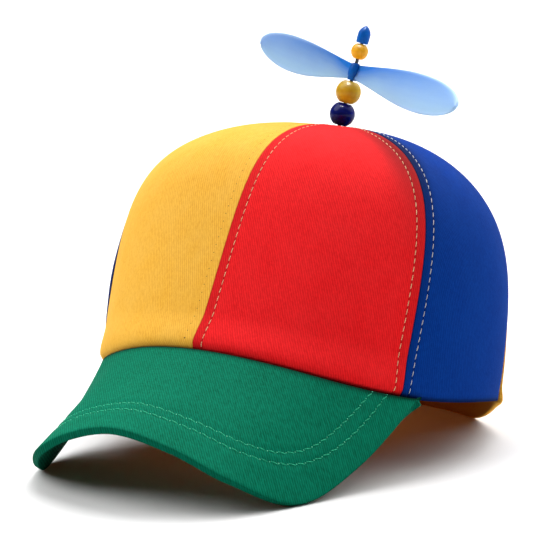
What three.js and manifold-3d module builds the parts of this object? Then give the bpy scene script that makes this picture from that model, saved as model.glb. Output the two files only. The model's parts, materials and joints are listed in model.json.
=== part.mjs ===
// Propeller cap: a cloth crown of six panels, a stiff arched peak and a propeller that spins on a beaded spindle.
// Millimetres, +Z up. The peak points to -Y and the wearer's left is +X. The cap stands as on a table, tipped back
// on its hem and on the two drooping sides of the peak. The origin is the bottom centre of its box.

import * as THREE from 'three';
import { mergeVertices } from 'three/addons/utils/BufferGeometryUtils.js';
import Module from 'manifold-3d';

const CLEARANCE = 0.3; // between neighbouring pieces
const DEGREE = Math.PI / 180;
const SMALL_STEP = 1e-3; // for slopes of the curved surfaces

// Crown. Angles run round from the middle of the front towards the wearer's left.
const CROWN_HEIGHT = 109.6;
const CROWN_PITCH = 13 * DEGREE; // how far the standing cap tips back
const CROWN_LIFT = 32.6; // middle of the hem line above the table
const CROWN_TOP_BACK = 16; // the top sits this far behind the middle of the hem line
const CROWN_ROUNDNESS = 2.1;
const CLOTH = 1.4;
const TOP_HOLE_RADIUS = 2.2;
const TUCK_RISE = 0.16; // share of the height in which a drawn-in hem meets the wall
// taper: share of its radius that the wall has lost at the top; shoulder: how square the turn to the top is;
// tuck: how far the hem is drawn in under the wall. The soft crown is fuller on the wearer's right.
const CROWN_SECTIONS = [
  { angle: 0, hemRadius: 88.5, hemHeight: 1, taper: 0.235, shoulder: 7.1, tuck: 0 },
  { angle: 60, hemRadius: 86.5, hemHeight: -8.5, taper: -0.075, shoulder: 3.95, tuck: 0 },
  { angle: 120, hemRadius: 93, hemHeight: -6, taper: 0.065, shoulder: 3.75, tuck: 0 },
  { angle: 180, hemRadius: 93.5, hemHeight: -15, taper: 0.03, shoulder: 3.65, tuck: 0 },
  { angle: 240, hemRadius: 94, hemHeight: -7, taper: 0.125, shoulder: 3, tuck: 0 },
  { angle: 300, hemRadius: 87, hemHeight: -8, taper: -0.045, shoulder: 5, tuck: 3.5 },
];
const PANEL_COLUMNS = 10;
const PANEL_ROWS = 15;
const PROFILE_STEPS = 240;

const YELLOW = 0xf6b63c;
const RED = 0xdb1f26;
const BLUE = 0x12347f;
const PANELS = [
  { name: 'panel_front_left', from: 0, color: RED },
  { name: 'panel_left', from: 60, color: BLUE },
  { name: 'panel_back_left', from: 120, color: YELLOW },
  { name: 'panel_back_right', from: 180, color: RED },
  { name: 'panel_right', from: 240, color: BLUE },
  { name: 'panel_front_right', from: 300, color: YELLOW },
];
const PANEL_SPAN = 60;

// Peak. The rows follow its free edge from its end on the wearer's right to its end on the left.
const PEAK_THICKNESS = 3.2;
const PEAK_RIGHT_END = -62 * DEGREE;
const PEAK_LEFT_END = 66.5 * DEGREE;
const PEAK_ROOT_DROP = 0.6; // middle of the root below the hem line
const PEAK_EDGE = [
  { side: -72, forward: 43, height: 29 },
  { side: -70, forward: 75.5, height: 9.5 },
  { side: -62.5, forward: 108, height: 0.5 },
  { side: -46, forward: 134, height: 13.5 },
  { side: -25, forward: 142.5, height: 25 },
  { side: 0, forward: 146, height: 31 },
  { side: 25, forward: 142.5, height: 25 },
  { side: 46, forward: 134, height: 13.5 },
  { side: 62, forward: 108, height: 0.4 },
  { side: 71.5, forward: 75.5, height: 9.5 },
  { side: 81, forward: 39, height: 31 },
];
const PEAK_STEPS = 48;
// reach: share of the way from root to free edge; body: share of the full thickness there.
const PEAK_COLUMNS = [
  { reach: 0, body: 1 },
  { reach: 0.25, body: 1 },
  { reach: 0.5, body: 1 },
  { reach: 0.75, body: 1 },
  { reach: 0.965, body: 1 },
  { reach: 1, body: 0.4 },
];

// Stack on the spindle. Heights run along the spindle from the top of the crown.
const SPINDLE_LEAN_BACK = 10 * DEGREE;
const SPINDLE_LEAN_LEFT = 12 * DEGREE;
const SPINDLE_RADIUS = 0.8;
const SPINDLE_TOP = 42.9;
const FOOT_RADIUS = 5;
const FOOT_TOP = -3;
const FOOT_THICKNESS = 1;
const BORE_RADIUS = SPINDLE_RADIUS + CLEARANCE;
const STACK_SIDES = 16;
const BEADS = [
  { name: 'bead_navy', height: 6.4, radius: 5.8, halfLength: 5.05, color: 0x161654, roughness: 0.15 },
  { name: 'bead_gold', height: 16.8, radius: 5.8, halfLength: 5.05, color: 0xc9992f, roughness: 0.3 },
  { name: 'bead_yellow', height: 35.9, radius: 3.95, halfLength: 3.5, color: 0xf0ab35, roughness: 0.35 },
];
const BEAD_BANDS = 8;
const TIP_BASE = 39.7;
const TIP_LENGTH = 8.3;
const TIP_BORE_DEPTH = 3.6;
const TIP_PROFILE = [
  { radius: 2.6, height: 0 },
  { radius: 2.9, height: 0.4 },
  { radius: 2.9, height: 4.9 },
  { radius: 2.1, height: 6.6 },
  { radius: 0.8, height: 7.9 },
];

// Propeller
const HUB_HEIGHT = 26.4; // middle of the hub along the spindle
const HUB_PROFILE = [
  { radius: 2.2, height: -4 },
  { radius: 2.2, height: -2.4 },
  { radius: 2.7, height: -1.4 },
  { radius: 2.7, height: 0.8 },
  { radius: 2.3, height: 2.8 },
  { radius: 1.6, height: 4.1 },
];
const BLADE_TURN = -21 * DEGREE; // direction of the blade on the wearer's left, round the spindle from +X
const BLADE_LENGTH = 72; // spindle to blade tip
const BLADE_START = 1.9;
const BLADE_ROOT_CHORD = 6.8;
const BLADE_CHORD = 18.5;
const BLADE_WIDEST = 0.66; // share of the length
const BLADE_SWELL = 1.3; // how late the chord swells
const BLADE_BLUNTNESS = 2.2; // 2 is an elliptic tip
const BLADE_ROOT_PITCH = 80 * DEGREE;
const BLADE_TIP_PITCH = 60 * DEGREE;
const BLADE_THICKNESS = 1.2;
const BLADE_STATIONS = 14;
const BLADE_LAST = 0.93; // quarter turn share at which the loft stops, short of a sharp tip
const BLADE_SIDES = 12;

const wasm = await Module();
wasm.setup();

// Crown form

// Returns a smooth function of the angle, all the way round, through one column of the crown table.
function roundTheCrown(column) {
  return (angle) => CROWN_SECTIONS.reduce((sum, section) => {
    const away = angle - section.angle * DEGREE;
    const waves = 1 + 2 * Math.cos(away) + 2 * Math.cos(2 * away) + Math.cos(3 * away);
    return sum + (section[column] * waves) / CROWN_SECTIONS.length;
  }, 0);
}

const hemRadius = roundTheCrown('hemRadius');
const hemHeight = roundTheCrown('hemHeight');
const taper = roundTheCrown('taper');
const shoulder = roundTheCrown('shoulder');
const tuck = roundTheCrown('tuck');

// Point on the outside of the crown: rise runs from 0 at the hem to 1 at the top.
function crownPoint(angle, rise) {
  const closing = Math.max(1 - rise ** shoulder(angle), 0) ** (1 / CROWN_ROUNDNESS);
  const drawnIn = tuck(angle) * Math.max(1 - rise / TUCK_RISE, 0) ** 2;
  const radius = hemRadius(angle) * (1 - taper(angle) * rise) * closing - drawnIn;
  const x = radius * Math.sin(angle);
  const y = -radius * Math.cos(angle) + CROWN_TOP_BACK * rise;
  const z = CROWN_HEIGHT * rise + hemHeight(angle) * (1 - rise) ** 2;
  const point = new THREE.Vector3(x, y, z).applyAxisAngle(new THREE.Vector3(1, 0, 0), -CROWN_PITCH);
  point.z = Math.max(point.z + CROWN_LIFT, 0); // the hem lies flat where it meets the table
  return point;
}

const crownTop = crownPoint(0, 1);

function crownNormal(angle, rise) {
  const low = Math.max(rise - SMALL_STEP, 0);
  const along = crownPoint(angle + SMALL_STEP, rise).sub(crownPoint(angle - SMALL_STEP, rise));
  const up = crownPoint(angle, rise + SMALL_STEP).sub(crownPoint(angle, low));
  if (rise === 0) up.set(0, 0, 1); // the cut edge of the hem is level
  return along.cross(up).normalize();
}

// Rises that split the wall at one angle into equal lengths, from the hem to the hole at the top.
function evenRises(angle) {
  const rises = Array.from({ length: PROFILE_STEPS + 1 }, (_, i) => 1 - (1 - i / PROFILE_STEPS) ** 3);
  const wall = rises.filter((rise) => crownPoint(angle, rise).distanceTo(crownTop) >= TOP_HOLE_RADIUS);
  const lengths = [0];
  for (let i = 1; i < wall.length; i += 1) {
    lengths.push(lengths[i - 1] + crownPoint(angle, wall[i]).distanceTo(crownPoint(angle, wall[i - 1])));
  }
  const total = lengths[lengths.length - 1];
  return Array.from({ length: PANEL_ROWS + 1 }, (_, row) => {
    const target = (total * row) / PANEL_ROWS;
    const next = Math.max(lengths.findIndex((length) => length >= target - 1e-9), 1);
    const part = (target - lengths[next - 1]) / (lengths[next] - lengths[next - 1]);
    return wall[next - 1] + (wall[next] - wall[next - 1]) * part;
  });
}

// Solids

// Closes a sheet between two matching grids of points; the first grid is the face that looks out.
function closedSheet(outer, inner) {
  const rows = outer.length;
  const columns = outer[0].length;
  const positions = [...outer.flat(), ...inner.flat()].flatMap((point) => point.toArray());
  const front = (row, column) => row * columns + column;
  const back = (row, column) => rows * columns + front(row, column);
  const indices = [];
  for (let r = 0; r < rows - 1; r += 1) {
    for (let c = 0; c < columns - 1; c += 1) {
      indices.push(front(r, c), front(r, c + 1), front(r + 1, c + 1));
      indices.push(front(r, c), front(r + 1, c + 1), front(r + 1, c));
      indices.push(back(r, c), back(r + 1, c + 1), back(r, c + 1));
      indices.push(back(r, c), back(r + 1, c), back(r + 1, c + 1));
    }
  }
  const rim = [];
  for (let c = 0; c < columns - 1; c += 1) rim.push([0, c]);
  for (let r = 0; r < rows - 1; r += 1) rim.push([r, columns - 1]);
  for (let c = columns - 1; c > 0; c -= 1) rim.push([rows - 1, c]);
  for (let r = rows - 1; r > 0; r -= 1) rim.push([r, 0]);
  rim.forEach((here, i) => {
    const next = rim[(i + 1) % rim.length];
    indices.push(front(...next), front(...here), back(...here));
    indices.push(front(...next), back(...here), back(...next));
  });
  return indexedGeometry(positions, indices);
}

// Skins a row of equal rings and caps both ends.
function closedLoft(rings) {
  const sides = rings[0].length;
  const positions = rings.flat().flatMap((point) => point.toArray());
  const indices = [];
  for (let ring = 0; ring < rings.length - 1; ring += 1) {
    for (let side = 0; side < sides; side += 1) {
      const a = ring * sides + side;
      const b = ring * sides + ((side + 1) % sides);
      indices.push(a, b, b + sides, a, b + sides, a + sides);
    }
  }
  const end = (rings.length - 1) * sides;
  for (let side = 1; side < sides - 1; side += 1) {
    indices.push(0, side + 1, side);
    indices.push(end, end + side, end + side + 1);
  }
  return indexedGeometry(positions, indices);
}

function indexedGeometry(positions, indices) {
  const geometry = new THREE.BufferGeometry();
  geometry.setAttribute('position', new THREE.Float32BufferAttribute(positions, 3));
  geometry.setIndex(indices);
  geometry.computeVertexNormals();
  return geometry;
}

// Turns a profile of radius and height pairs about +Z.
function turned(profile) {
  const points = profile.map(([radius, height]) => new THREE.Vector2(radius, height));
  return new THREE.LatheGeometry(points, STACK_SIDES).rotateX(Math.PI / 2);
}

function toSolid(geometry) {
  const bare = geometry.clone();
  bare.deleteAttribute('normal');
  bare.deleteAttribute('uv');
  const merged = mergeVertices(bare, 1e-4);
  const vertProperties = new Float32Array(merged.attributes.position.array);
  const triVerts = new Uint32Array(merged.index.array);
  return new wasm.Manifold(new wasm.Mesh({ numProp: 3, vertProperties, triVerts }));
}

function fromSolid(solid) {
  const mesh = solid.getMesh();
  return indexedGeometry(Array.from(mesh.vertProperties), Array.from(mesh.triVerts));
}

function piece(name, geometry, color, roughness) {
  const mesh = new THREE.Mesh(geometry, new THREE.MeshStandardMaterial({ color, roughness, metalness: 0 }));
  mesh.name = name;
  return mesh;
}

// Crown panels

function panelGeometry(from) {
  const rises = Array.from({ length: PANEL_COLUMNS + 1 }, (_, column) =>
    evenRises((from + (PANEL_SPAN * column) / PANEL_COLUMNS) * DEGREE));
  const outer = [];
  const inner = [];
  for (let row = 0; row <= PANEL_ROWS; row += 1) {
    outer.push([]);
    inner.push([]);
    for (let column = 0; column <= PANEL_COLUMNS; column += 1) {
      const share = column / PANEL_COLUMNS;
      const rise = rises[column][row];
      const middle = (from + PANEL_SPAN * share) * DEGREE;
      const beside = crownPoint(middle + SMALL_STEP, rise);
      const perRadian = crownPoint(middle, rise).distanceTo(beside) / SMALL_STEP;
      const angle = middle + ((0.5 - share) * CLEARANCE) / perRadian; // half the gap at each seam
      const point = crownPoint(angle, rise);
      outer[row].push(point);
      inner[row].push(point.clone().addScaledVector(crownNormal(angle, rise), -CLOTH));
    }
  }
  return closedSheet(outer, inner);
}

// Peak

const peakEdge = new THREE.CatmullRomCurve3(
  PEAK_EDGE.map(({ side, forward, height }) => new THREE.Vector3(side, -forward, height)),
  false,
  'catmullrom',
  0.5,
);

// Middle surface of the peak: along runs from its right end to its left end, reach from root to free edge.
function peakPoint(along, reach) {
  const angle = PEAK_RIGHT_END + (PEAK_LEFT_END - PEAK_RIGHT_END) * along;
  const out = crownNormal(angle, 0).multiplyScalar(CLEARANCE + PEAK_THICKNESS / 4);
  const root = crownPoint(angle, 0).add(out);
  root.z -= PEAK_ROOT_DROP;
  return root.lerp(peakEdge.getPoint(along), reach);
}

function peakNormal(along, reach) {
  const [before, after] = [Math.max(along - SMALL_STEP, 0), Math.min(along + SMALL_STEP, 1)];
  const sideways = peakPoint(after, reach).sub(peakPoint(before, reach));
  const outwards = peakPoint(along, 1).sub(peakPoint(along, 0));
  return outwards.cross(sideways).normalize();
}

function peakGeometry() {
  const top = [];
  const underside = [];
  for (const { reach, body } of PEAK_COLUMNS) {
    top.push([]);
    underside.push([]);
    for (let step = 0; step <= PEAK_STEPS; step += 1) {
      const along = step / PEAK_STEPS;
      const half = peakNormal(along, reach).multiplyScalar((body * PEAK_THICKNESS) / 2);
      top[top.length - 1].push(peakPoint(along, reach).add(half));
      underside[underside.length - 1].push(peakPoint(along, reach).sub(half));
    }
  }
  return closedSheet(underside, top);
}

// Stack pieces

function spindleGeometry() {
  return turned([
    [0, FOOT_TOP - FOOT_THICKNESS],
    [FOOT_RADIUS, FOOT_TOP - FOOT_THICKNESS],
    [FOOT_RADIUS, FOOT_TOP],
    [SPINDLE_RADIUS, FOOT_TOP],
    [SPINDLE_RADIUS, SPINDLE_TOP],
    [0, SPINDLE_TOP],
  ]);
}

// A round bead with flat ends, drilled for the spindle.
function beadGeometry({ radius, halfLength }) {
  const end = Math.asin(halfLength / radius);
  const profile = [[BORE_RADIUS, -halfLength]];
  for (let band = 0; band <= BEAD_BANDS; band += 1) {
    const latitude = end * ((2 * band) / BEAD_BANDS - 1);
    profile.push([radius * Math.cos(latitude), radius * Math.sin(latitude)]);
  }
  profile.push([BORE_RADIUS, halfLength], [BORE_RADIUS, -halfLength]);
  return turned(profile);
}

function tipGeometry() {
  const bore = [[0, TIP_BORE_DEPTH], [BORE_RADIUS, TIP_BORE_DEPTH], [BORE_RADIUS, 0]];
  const outside = TIP_PROFILE.map(({ radius, height }) => [radius, height]);
  return turned([...bore, ...outside, [0, TIP_LENGTH]]).translate(0, 0, TIP_BASE);
}

function bladeChord(share) {
  if (share < BLADE_WIDEST) {
    const swell = Math.sin((share / BLADE_WIDEST) ** BLADE_SWELL * (Math.PI / 2));
    return BLADE_ROOT_CHORD + (BLADE_CHORD - BLADE_ROOT_CHORD) * swell;
  }
  return BLADE_CHORD * Math.sqrt(1 - ((share - BLADE_WIDEST) / (1 - BLADE_WIDEST)) ** BLADE_BLUNTNESS);
}

// One blade along +X, its chord twisting from a steep root to a flatter tip.
function bladeGeometry() {
  const rings = [];
  for (let station = 0; station <= BLADE_STATIONS; station += 1) {
    const way = BLADE_LAST * (station / BLADE_STATIONS);
    const distance = BLADE_START + (BLADE_LENGTH - BLADE_START) * Math.sin((way * Math.PI) / 2);
    const share = distance / BLADE_LENGTH;
    const pitch = BLADE_ROOT_PITCH + (BLADE_TIP_PITCH - BLADE_ROOT_PITCH) * share;
    const [cosine, sine] = [Math.cos(pitch), Math.sin(pitch)];
    const chord = new THREE.Vector3(0, cosine, sine).multiplyScalar(bladeChord(share) / 2);
    const face = new THREE.Vector3(0, -sine, cosine).multiplyScalar(BLADE_THICKNESS / 2);
    rings.push(Array.from({ length: BLADE_SIDES }, (_, side) => {
      const turn = (2 * Math.PI * side) / BLADE_SIDES;
      const middle = new THREE.Vector3(distance, 0, 0);
      return middle.addScaledVector(chord, Math.cos(turn)).addScaledVector(face, Math.sin(turn));
    }));
  }
  return closedLoft(rings);
}

// Hub and two blades, one moulding.
function propellerGeometry() {
  const outside = HUB_PROFILE.map(({ radius, height }) => [radius, height]);
  const low = outside[0][1];
  const high = outside[outside.length - 1][1];
  const hub = turned([[BORE_RADIUS, low], ...outside, [BORE_RADIUS, high], [BORE_RADIUS, low]]);
  const blades = [0, Math.PI].map((turn) => toSolid(bladeGeometry().rotateZ(BLADE_TURN + turn)));
  const joined = blades.reduce((solid, blade) => solid.add(blade), toSolid(hub));
  return fromSolid(joined).translate(0, 0, HUB_HEIGHT);
}

// Assembly

const cap = new THREE.Group();
for (const { name, from, color } of PANELS) {
  cap.add(piece(name, panelGeometry(from), color, 0.9));
}
cap.add(piece('peak', peakGeometry(), 0x0b7d5c, 0.9));

const stack = new THREE.Group();
stack.position.copy(crownTop);
stack.rotation.set(-SPINDLE_LEAN_BACK, 0, 0);
stack.rotateY(SPINDLE_LEAN_LEFT);
stack.add(piece('spindle', spindleGeometry(), 0x23262b, 0.4));
for (const bead of BEADS) {
  const mesh = piece(bead.name, beadGeometry(bead), bead.color, bead.roughness);
  mesh.position.z = bead.height;
  stack.add(mesh);
}
stack.add(piece('tip', tipGeometry(), 0x1257b0, 0.3));
stack.add(piece('propeller', propellerGeometry(), 0x5f97e6, 0.3));
cap.add(stack);

const box = new THREE.Box3().setFromObject(cap, true);
const middle = box.getCenter(new THREE.Vector3());
cap.position.set(-middle.x, -middle.y, -box.min.z);

export default cap;
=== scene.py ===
"""Looks of the propeller cap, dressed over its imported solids. Metres, in the frame's own axes."""

import json
import math

import bmesh
import bpy
import numpy as np
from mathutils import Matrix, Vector


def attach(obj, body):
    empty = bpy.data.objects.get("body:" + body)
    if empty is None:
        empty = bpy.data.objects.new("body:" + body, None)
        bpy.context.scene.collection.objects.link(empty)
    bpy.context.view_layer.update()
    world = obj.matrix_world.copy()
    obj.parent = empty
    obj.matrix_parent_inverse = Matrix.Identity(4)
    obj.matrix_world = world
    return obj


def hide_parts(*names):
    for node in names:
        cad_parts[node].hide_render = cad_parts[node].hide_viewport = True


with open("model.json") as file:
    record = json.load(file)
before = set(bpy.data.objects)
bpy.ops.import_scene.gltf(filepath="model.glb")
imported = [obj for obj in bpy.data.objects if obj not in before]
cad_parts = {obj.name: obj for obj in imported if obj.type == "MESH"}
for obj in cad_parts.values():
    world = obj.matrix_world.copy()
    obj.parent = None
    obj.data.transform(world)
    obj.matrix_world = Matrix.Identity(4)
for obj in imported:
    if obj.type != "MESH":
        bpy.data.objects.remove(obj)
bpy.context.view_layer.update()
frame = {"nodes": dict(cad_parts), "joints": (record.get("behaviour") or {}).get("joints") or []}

MM = 0.001
DEGREE = math.pi / 180
SMALL_STEP = 1e-3
TINY = 1e-12
TABLE_CLEARANCE = 0.02 * MM

# Camera, matched to the photograph's seams, hem, peak edge and bead stack
CAMERA_AZIMUTH = 29.5 * DEGREE
CAMERA_ELEVATION = 9.8 * DEGREE
CAMERA_TARGET_HEIGHT = 60 * MM
CAMERA_DISTANCE = 0.994
CAMERA_LENS = 149.9
CAMERA_SHIFT = (-0.054, 0.0703)
CAMERA_SENSOR = 36
CAMERA_CLIP = (0.01, 100)

# Light: broad soft lights from above and behind, and one from the wearer's right and front
SOFT_LIGHTS = (
    {"name": "back_right", "towards": (0.32, -0.56, -0.77), "angle": 50 * DEGREE, "strength": 1.85},
    {"name": "right", "towards": (0.54, 0.34, -0.77), "angle": 50 * DEGREE, "strength": 2.3},
    {"name": "back", "towards": (0.03, -0.64, -0.76), "angle": 65 * DEGREE, "strength": 1.8},
    {"name": "back_left", "towards": (-0.33, -0.58, -0.74), "angle": 80 * DEGREE, "strength": 2.2},
)
ROOM_LIGHT = 0.05
FLOOR_HALF_SIZE = 30
SUN_PLACE = (0, 0, 2)
# A softbox overhead that only glints, mostly in the beads
GLINT_POWER = 34
GLINT_SIZE = 0.42
GLINT_PLACE = (0, 0.06, 1.15)
# Light that the real cloth lets through into the hollow crown
GLOW_POWER = 0.025
GLOW_COLOUR = (1, 0.34, 0.08)
GLOW_RADIUS = 20 * MM
GLOW_PLACE = (0, 20 * MM, 60 * MM)

# Crown. Angles run round from the middle of the front towards the wearer's left.
CROWN_HEIGHT = 109.6 * MM
CROWN_PITCH = 13 * DEGREE
CROWN_LIFT = 32.6 * MM
CROWN_TOP_BACK = 16 * MM
CROWN_ROUNDNESS = 2.1
CLOTH = 1.4 * MM
TOP_HOLE_RADIUS = 2.2 * MM
TUCK_RISE = 0.16
CROWN_SECTIONS = (
    {"angle": 0, "hem_radius": 88.5, "hem_height": 1, "taper": 0.235, "shoulder": 7.1, "tuck": 0},
    {"angle": 60, "hem_radius": 86.5, "hem_height": -8.5, "taper": -0.075, "shoulder": 3.95, "tuck": 0},
    {"angle": 120, "hem_radius": 93, "hem_height": -6, "taper": 0.065, "shoulder": 3.75, "tuck": 0},
    {"angle": 180, "hem_radius": 93.5, "hem_height": -15, "taper": 0.03, "shoulder": 3.65, "tuck": 0},
    {"angle": 240, "hem_radius": 94, "hem_height": -7, "taper": 0.125, "shoulder": 3, "tuck": 0},
    {"angle": 300, "hem_radius": 87, "hem_height": -8, "taper": -0.045, "shoulder": 5, "tuck": 3.5},
)
PANEL_SPAN = 60 * DEGREE
PANELS = (
    {"name": "front_left", "start": 0, "cloth": "red", "sewn_to": "peak_cover"},
    {"name": "left", "start": 60, "cloth": "blue", "sewn_to": "cloth_front_left"},
    {"name": "back_left", "start": 120, "cloth": "yellow", "sewn_to": "cloth_left"},
    {"name": "back_right", "start": 180, "cloth": "red", "sewn_to": "cloth_right"},
    {"name": "right", "start": 240, "cloth": "blue", "sewn_to": "cloth_front_right"},
    {"name": "front_right", "start": 300, "cloth": "yellow", "sewn_to": "peak_cover"},
)
PROFILE_STEPS = 240
PANEL_ROWS = 130
PANEL_ANGLES = 61
MIDDLE_COLUMNS = 36
STITCH_INSET = 4.2 * MM
# Distances of the grid's columns from each seam, close together where the seam is rolled and stitched
EDGE_COLUMNS = np.array([0.02, 0.3, 0.7, 1.2, 1.8, 2.5, 3.1, 3.6, 4.2, 4.8, 5.4, 6.4, 8, 10, 13]) * MM
STITCH_COLUMN = 8
EDGE_SHARE = 0.4
HEM_ROUND_STEPS = 4

# Relief of the sewn cloth
SEAM_DEPTH = 0.18 * MM
SEAM_WIDTH = 0.5 * MM
RIDGE_HEIGHT = 0.1 * MM
RIDGE_PLACE = 2.2 * MM
RIDGE_WIDTH = 1.1 * MM
STITCH_DIP = 0.24 * MM
STITCH_DIP_WIDTH = 0.7 * MM
FRONT_BULGE = 2.6 * MM
FRONT_BULGE_PLACE = 3.4 * MM
FRONT_BULGE_REACH = 18 * MM
FRONT_BULGE_FADE = 12 * DEGREE
# The relief fades where a panel narrows to less than twice this
SEAM_ROOM = 6 * STITCH_INSET
# Faint waves, and smaller ripples on them, which fade towards the seams and the hem
WAVE_HEIGHT = 0.32 * MM
WAVE_ACROSS, WAVE_UP, WAVE_PHASE = 17 * MM, 23 * MM, 2.1
RIPPLE_SHARE, RIPPLE_ACROSS, RIPPLE_UP, RIPPLE_PHASE = 0.6, 9 * MM, 31 * MM, 1.7
WAVE_SEAM_FADE, WAVE_HEM_FADE = 18 * MM, 14 * MM
# Dents and puffs in millimetres. Side is -1 at the panel's first seam and 1 at its last, away is the
# distance from that seam, up the distance from the hem, and wide and tall say how far the form reaches.
# Height is how far it stands out, and shade how dark it is, from 0 to 1.
LOCAL_FORMS = (
    {"panel": "front_left", "side": 1, "away": 5, "wide": 9, "up": 120, "tall": 40,
     "height": -1.1, "shade": 0.75},
    {"panel": "left", "side": -1, "away": 2, "wide": 3.5, "up": 118, "tall": 42,
     "height": -0.8, "shade": 0.6},
    {"panel": "left", "side": 1, "away": 0, "wide": 9, "up": 0, "tall": 9,
     "height": -1.5, "shade": 0},
    {"panel": "right", "side": 1, "away": 4, "wide": 4.5, "up": 38, "tall": 20,
     "height": 1.5, "shade": 0.6},
    {"panel": "right", "side": 1, "away": 0, "wide": 16, "up": 0, "tall": 9,
     "height": 1.6, "shade": 0},
    {"panel": "front_right", "side": -1, "away": 0, "wide": 16, "up": 0, "tall": 9,
     "height": 2.3, "shade": 0},
    {"panel": "front_right", "side": -1, "away": 7, "wide": 3, "up": 40, "tall": 35,
     "height": 0.5, "shade": 0},
    {"panel": "back_left", "side": -1, "away": 4, "wide": 6, "up": 14, "tall": 26,
     "height": 1.2, "shade": 0},
    {"panel": "back_left", "side": -1, "away": 6, "wide": 16, "up": 0, "tall": 4,
     "height": 1.2, "shade": 0},
)

# The slack hem of the back left panel sags to the table
HEM_DROP_PANEL = "back_left"
HEM_DROP_START = 121 * DEGREE
HEM_DROP_SPAN = 27 * DEGREE
HEM_DROP_REACH = 40 * MM

# Sewing in each cloth: its share of the relief, and how much painted shade darkens the seam, the stitch
# groove and the band between them
SEWING = {
    "yellow": {"relief": 0.1, "seam": 0.0, "groove": 0.0, "band": 0.0},
    "red": {"relief": 1.0, "seam": 0.2, "groove": 0.45, "band": 0.2},
    "blue": {"relief": 1.0, "seam": 0.6, "groove": 0.6, "band": 0.2},
}
INSIDE_SHADE = 0.7
MOST_SHADE = 0.9
SEAM_SHADE_WIDTH = 0.4 * MM
HEM_SHADE, HEM_SHADE_WIDTH = 0.8, 1.0 * MM
ROOT_SHADE, ROOT_SHADE_WIDTH = 0.9, 1.4 * MM
LIP_SHADE, LIP_SHADE_ROWS = 0.4, 3

# Peak. The rows follow its free edge from its end on the wearer's right to its end on the left.
PEAK_THICKNESS = 3.4 * MM
PEAK_RIGHT_END = -62 * DEGREE
PEAK_LEFT_END = 66.5 * DEGREE
PEAK_ROOT_DROP = 0.6 * MM
PEAK_ROOT_GAP = 1.1 * MM
PEAK_EDGE = (
    {"side": -72, "forward": 43, "height": 29},
    {"side": -70, "forward": 75.5, "height": 9.5},
    {"side": -62.5, "forward": 108, "height": 0.5},
    {"side": -46, "forward": 134, "height": 13.5},
    {"side": -25, "forward": 142.5, "height": 25},
    {"side": 0, "forward": 146, "height": 31},
    {"side": 25, "forward": 142.5, "height": 25},
    {"side": 46, "forward": 134, "height": 13.5},
    {"side": 62, "forward": 108, "height": 0.4},
    {"side": 71.5, "forward": 75.5, "height": 9.5},
    {"side": 81, "forward": 39, "height": 31},
)
PEAK_STEPS = 200
PEAK_REACHES = 44
# The free edge is a squared nose that droops a little, and never takes most of a short reach
PEAK_NOSE = 1.4 * MM
PEAK_NOSE_SHARE = 0.45
PEAK_NOSE_STEPS = 12
PEAK_NOSE_SQUARENESS = 0.4
PEAK_NOSE_DROOP = 0.1
PEAK_WEAVE_SLOPE = 0.4
# Stitched rows on the peak: share of the way from its middle to its end, and from its root to its edge
PEAK_ROWS = (
    ((0, 0.69), (0.2, 0.7), (0.4, 0.69), (0.5, 0.64), (0.6, 0.5), (0.69, 0.265), (0.75, 0.01)),
    ((0, 0.768), (0.2, 0.773), (0.4, 0.768), (0.5, 0.728), (0.6, 0.645), (0.7, 0.52), (0.77, 0.32),
     (0.82, 0.01)),
)
PEAK_ROW_DIP = 0.45 * MM
PEAK_ROW_WIDTH = 1.3 * MM
PEAK_ROW_STEPS, PEAK_ROW_POINTS = 200, 400

# Thread
SEAM_STITCH = {
    "pitch": 3.6 * MM, "length": 2.7 * MM, "radius": 0.15 * MM, "rise": 0.2 * MM, "slant": 5 * DEGREE,
    "knot_radius": 0.36 * MM, "knot_rise": 0.06 * MM,
}
FLUSH_STITCH = {
    "pitch": 3.6 * MM, "length": 2.7 * MM, "radius": 0.1 * MM, "rise": 0.02 * MM, "slant": 5 * DEGREE,
    "knot_radius": 0.45 * MM, "knot_rise": 0.1 * MM,
}
PEAK_STITCH = {
    "pitch": 4.4 * MM, "length": 3.9 * MM, "radius": 0.26 * MM, "rise": 0.3 * MM, "slant": 14 * DEGREE,
    "knot_radius": 0.42 * MM, "knot_rise": 0.42 * MM,
}
STITCH_RINGS = 9
STITCH_SIDES = 6
# How a thread arches up, sinks into the cloth and thins to its ends
STITCH_ARCH = 0.6
STITCH_SINK = 0.5
STITCH_THIN, STITCH_TAPER = 0.02, 0.35
KNOT_SIDES = 8
KNOT_DEPTH = 0.1 * MM
# The rows of a panel's grid that its seams are stitched along
SEWN_ROWS = slice(1, -3)

# Stack on the spindle. Heights run along the spindle from the top of the crown.
SPINDLE_LEAN_BACK = 10 * DEGREE
SPINDLE_LEAN_LEFT = 12 * DEGREE
BORE_RADIUS = 1.1 * MM
STACK_SIDES = 56
WELD_DISTANCE = 1e-7
BEADS = (
    {"name": "navy", "height": 6.4 * MM, "radius": 5.8 * MM, "half_length": 5.05 * MM},
    {"name": "gold", "height": 16.8 * MM, "radius": 5.8 * MM, "half_length": 5.05 * MM},
    {"name": "yellow", "height": 35.9 * MM, "radius": 3.95 * MM, "half_length": 3.5 * MM},
)
BEAD_RINGS = 33
BEAD_LIP = 0.97
BORE_FLARE, BORE_FLARE_DEPTH = 0.25 * MM, 0.5 * MM
BEAD_CORNER, TIP_CORNER = 50 * DEGREE, 35 * DEGREE
TIP_BASE = 39.7 * MM
TIP_PROFILE = (
    (0, 3.6), (1.1, 3.6), (1.1, 0.3), (1.3, 0), (2.4, 0), (2.65, 0.15), (2.8, 0.5), (2.92, 2.4), (2.92, 4.4),
    (2.8, 5.1), (2.35, 6.1), (1.65, 7.1), (0.85, 7.9), (0.35, 8.2), (0, 8.3),
)
HUB_HEIGHT = 26.4 * MM
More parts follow.
